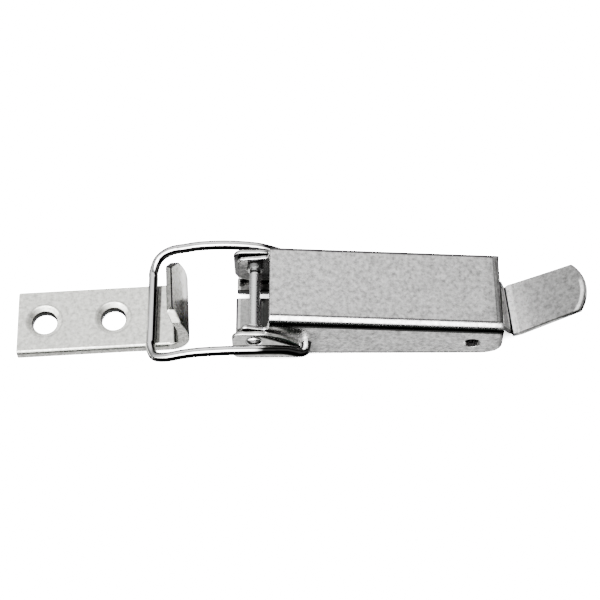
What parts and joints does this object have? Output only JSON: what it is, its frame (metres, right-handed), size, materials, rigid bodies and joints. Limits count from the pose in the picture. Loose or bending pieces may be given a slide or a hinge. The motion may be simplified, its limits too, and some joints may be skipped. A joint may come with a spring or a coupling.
{
  "type": "lever clasp",
  "caption": "Over-centre lever clasp of stainless sheet: pivoting lever with a finger tab, bent wire bail, flat base, and a loose catch plate with a hook and countersunk holes.",
  "frame": {"origin": "on the surface that the clasp is screwed to, directly under the pivot pin, midway between the ears", "axes": "+X along the clasp towards the finger tab, +Y across it along the pivot pin, +Z away from the surface"},
  "size_m": [0.1247, 0.0282, 0.0157],
  "materials": {
    "lever_steel": "satin stainless sheet",
    "base_steel": "satin stainless sheet",
    "plate_steel": "tumbled stainless strip",
    "wire_steel": "bright drawn stainless wire"
  },
  "bodies": {
    "base": {"base": "base_steel", "pivot_pin": "wire_steel", "catch_plate": "plate_steel"},
    "lever": {"lever": "lever_steel"},
    "bail": {"bail": "wire_steel"}
  },
  "joints": [
    {"name": "lever_open", "type": "hinge", "parent": "base", "child": "lever", "pos_m": [0, 0, 0.0086], "axis": [0, -1, 0], "range_deg": [0, 120]},
    {"name": "bail_swing", "type": "hinge", "parent": "lever", "child": "bail", "pos_m": [0.0113, 0, 0.0054], "axis": [0, -1, 0], "range_deg": [-120, 0]}
  ],
  "couplings": [
    {"joint": "bail_swing", "follows": "lever_open", "ratio": -1}
  ]
}
